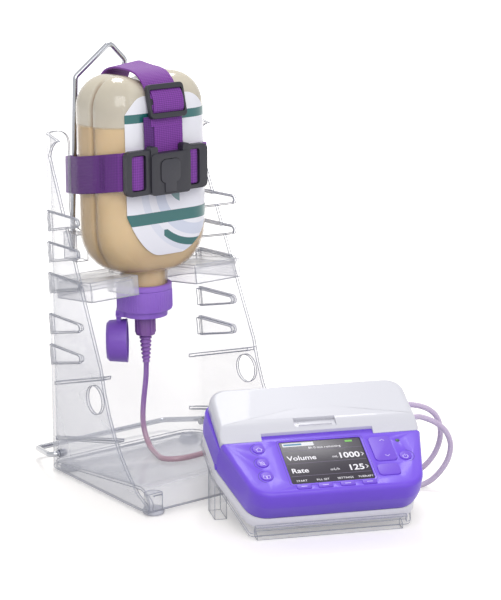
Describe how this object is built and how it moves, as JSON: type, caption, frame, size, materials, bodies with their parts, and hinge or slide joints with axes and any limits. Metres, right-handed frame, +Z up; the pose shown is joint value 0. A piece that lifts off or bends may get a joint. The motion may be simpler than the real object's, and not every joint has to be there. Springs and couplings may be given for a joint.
{
  "type": "table stand with feed bottle and enteral feeding pump",
  "caption": "Clear table stand with wire hanger holding an inverted feed bottle in a strap harness, tubed to a feeding pump in a tilted tray.",
  "frame": {"origin": "on the table, under the middle of the stand and the pump taken together, without the free tubing", "axes": "+Z up, +Y from the front of the stand to its back panel, +X to the stand's right as its open front is faced"},
  "size_m": [0.2091, 0.2988, 0.304],
  "materials": {
    "clear_shell": "clear moulded acrylic, polished",
    "clear_shelf": "clear moulded acrylic, polished",
    "clear_tray": "clear moulded acrylic, polished",
    "rubber_feet": "soft translucent grey, matt",
    "wire_hanger": "bright chromed wire",
    "bottle": "thin clear blown bottle, glossy",
    "feed_liquid": "opaque beige liquid",
    "bottle_label": "printed film, satin",
    "webbing": "woven flat webbing",
    "buckle": "moulded, fine satin",
    "buckle_button": "moulded, satin",
    "cap": "moulded, satin",
    "lid": "moulded, satin",
    "connector": "moulded, satin",
    "strain_relief": "soft sleeve, satin",
    "feed_tubing": "clear soft tubing, tinted",
    "patient_tubing": "clear soft tubing, tinted",
    "coil_tie": "paper band",
    "pump_rear_shell": "moulded, semi-gloss",
    "shell_gasket": "thin seal",
    "pump_front_shell": "moulded, semi-gloss",
    "display_window": "clear window over the display",
    "display_module": "lit colour display",
    "circuit_board": "board with solder mask",
    "battery": "shrink-wrapped pack",
    "steel": "plain steel",
    "pump_rotor": "moulded, low friction",
    "rollers": "moulded, low friction",
    "tube_cassette": "moulded, satin",
    "pump_segment": "soft silicone tube",
    "pump_door": "moulded, semi-gloss",
    "door_latch": "moulded, semi-gloss",
    "keys": "moulded, satin",
    "power_key": "moulded, satin",
    "pads": "moulded, satin",
    "status_light": "light pipe",
    "charge_contacts": "plated contacts"
  },
  "bodies": {
    "set": {"stand_shell": "clear_shell", "rubber_feet": "rubber_feet", "bottle_shelf": "clear_shelf", "wire_hanger": "wire_hanger", "bottle": "bottle", "feed_liquid": "feed_liquid", "bottle_label": "bottle_label", "belt_strap": "webbing", "top_strap": "webbing", "buckle_frame": "buckle", "ladder_lock": "buckle", "screw_cap": "cap", "tamper_ring": "cap", "spike_connector": "connector", "strain_relief": "strain_relief", "feed_tube": "feed_tubing", "patient_tube": "patient_tubing", "tube_coil": "patient_tubing", "coil_tie": "coil_tie", "tail_tube": "patient_tubing", "patient_connector": "connector", "connector_cap": "connector", "pump_tray": "clear_tray", "pump_rear_shell": "pump_rear_shell", "shell_gasket": "shell_gasket", "pump_front_shell": "pump_front_shell", "display_window": "display_window", "display_module": "display_module", "circuit_board": "circuit_board", "battery": "battery", "drive_motor": "steel", "tube_cassette": "tube_cassette", "pump_segment": "pump_segment", "status_light": "status_light", "shell_screws": "steel", "charge_contacts": "charge_contacts"},
    "release_button": {"buckle_button": "buckle_button"},
    "cap_lid": {"flip_lid": "lid"},
    "door": {"pump_door": "pump_door", "door_hinge_pins": "steel"},
    "latch": {"door_latch": "door_latch"},
    "rotor": {"pump_rotor": "pump_rotor", "rotor_rollers": "rollers"},
    "key_home_body": {"key_home": "keys"},
    "key_mute_body": {"key_mute": "keys"},
    "key_info_body": {"key_info": "keys"},
    "key_power_body": {"key_power": "power_key"},
    "key_rocker_body": {"key_rocker": "pads"},
    "key_enter_body": {"key_enter": "pads"},
    "soft_key_1_body": {"soft_key_1": "keys"},
    "soft_key_2_body": {"soft_key_2": "keys"},
    "soft_key_3_body": {"soft_key_3": "keys"},
    "soft_key_4_body": {"soft_key_4": "keys"}
  },
  "joints": [
    {"name": "buckle_release", "type": "slide", "parent": "set", "child": "release_button", "axis": [0, 1, 0], "range_m": [0, 0.002], "stiffness_N_per_m": 1200},
    {"name": "lid_hinge", "type": "hinge", "parent": "set", "child": "cap_lid", "pos_m": [-0.03265, 0.10028, 0.11417], "axis": [0.6157, 0.7877, -0.0206], "range_deg": [-4, 10]},
    {"name": "door_hinge", "type": "hinge", "parent": "set", "child": "door", "pos_m": [0.02113, -0.04257, 0.07656], "axis": [-0.91, 0.4147, 0], "range_deg": [0, 100]},
    {"name": "door_latch_slide", "type": "slide", "parent": "door", "child": "latch", "axis": [0.3817, 0.8376, 0.3907], "range_m": [0, 0.002], "stiffness_N_per_m": 1200},
    {"name": "rotor_spin", "type": "hinge", "parent": "set", "child": "rotor", "pos_m": [0.04841, -0.06952, 0.06161], "axis": [-0.162, -0.3555, 0.9205], "continuous": true},
    {"name": "key_home_press", "type": "slide", "parent": "set", "child": "key_home_body", "axis": [0.162, 0.3555, -0.9205], "range_m": [0, 0.0008], "stiffness_N_per_m": 1500},
    {"name": "key_mute_press", "type": "slide", "parent": "set", "child": "key_mute_body", "axis": [0.162, 0.3555, -0.9205], "range_m": [0, 0.0008], "stiffness_N_per_m": 1500},
    {"name": "key_info_press", "type": "slide", "parent": "set", "child": "key_info_body", "axis": [0.162, 0.3555, -0.9205], "range_m": [0, 0.0008], "stiffness_N_per_m": 1500},
    {"name": "key_power_press", "type": "slide", "parent": "set", "child": "key_power_body", "axis": [0.162, 0.3555, -0.9205], "range_m": [0, 0.0008], "stiffness_N_per_m": 1500},
    {"name": "key_rocker_press", "type": "slide", "parent": "set", "child": "key_rocker_body", "axis": [0.162, 0.3555, -0.9205], "range_m": [0, 0.0008], "stiffness_N_per_m": 1500},
    {"name": "key_enter_press", "type": "slide", "parent": "set", "child": "key_enter_body", "axis": [0.162, 0.3555, -0.9205], "range_m": [0, 0.0008], "stiffness_N_per_m": 1500},
    {"name": "soft_key_1_press", "type": "slide", "parent": "set", "child": "soft_key_1_body", "axis": [0.162, 0.3555, -0.9205], "range_m": [0, 0.0008], "stiffness_N_per_m": 1500},
    {"name": "soft_key_2_press", "type": "slide", "parent": "set", "child": "soft_key_2_body", "axis": [0.162, 0.3555, -0.9205], "range_m": [0, 0.0008], "stiffness_N_per_m": 1500},
    {"name": "soft_key_3_press", "type": "slide", "parent": "set", "child": "soft_key_3_body", "axis": [0.162, 0.3555, -0.9205], "range_m": [0, 0.0008], "stiffness_N_per_m": 1500},
    {"name": "soft_key_4_press", "type": "slide", "parent": "set", "child": "soft_key_4_body", "axis": [0.162, 0.3555, -0.9205], "range_m": [0, 0.0008], "stiffness_N_per_m": 1500}
  ]
}
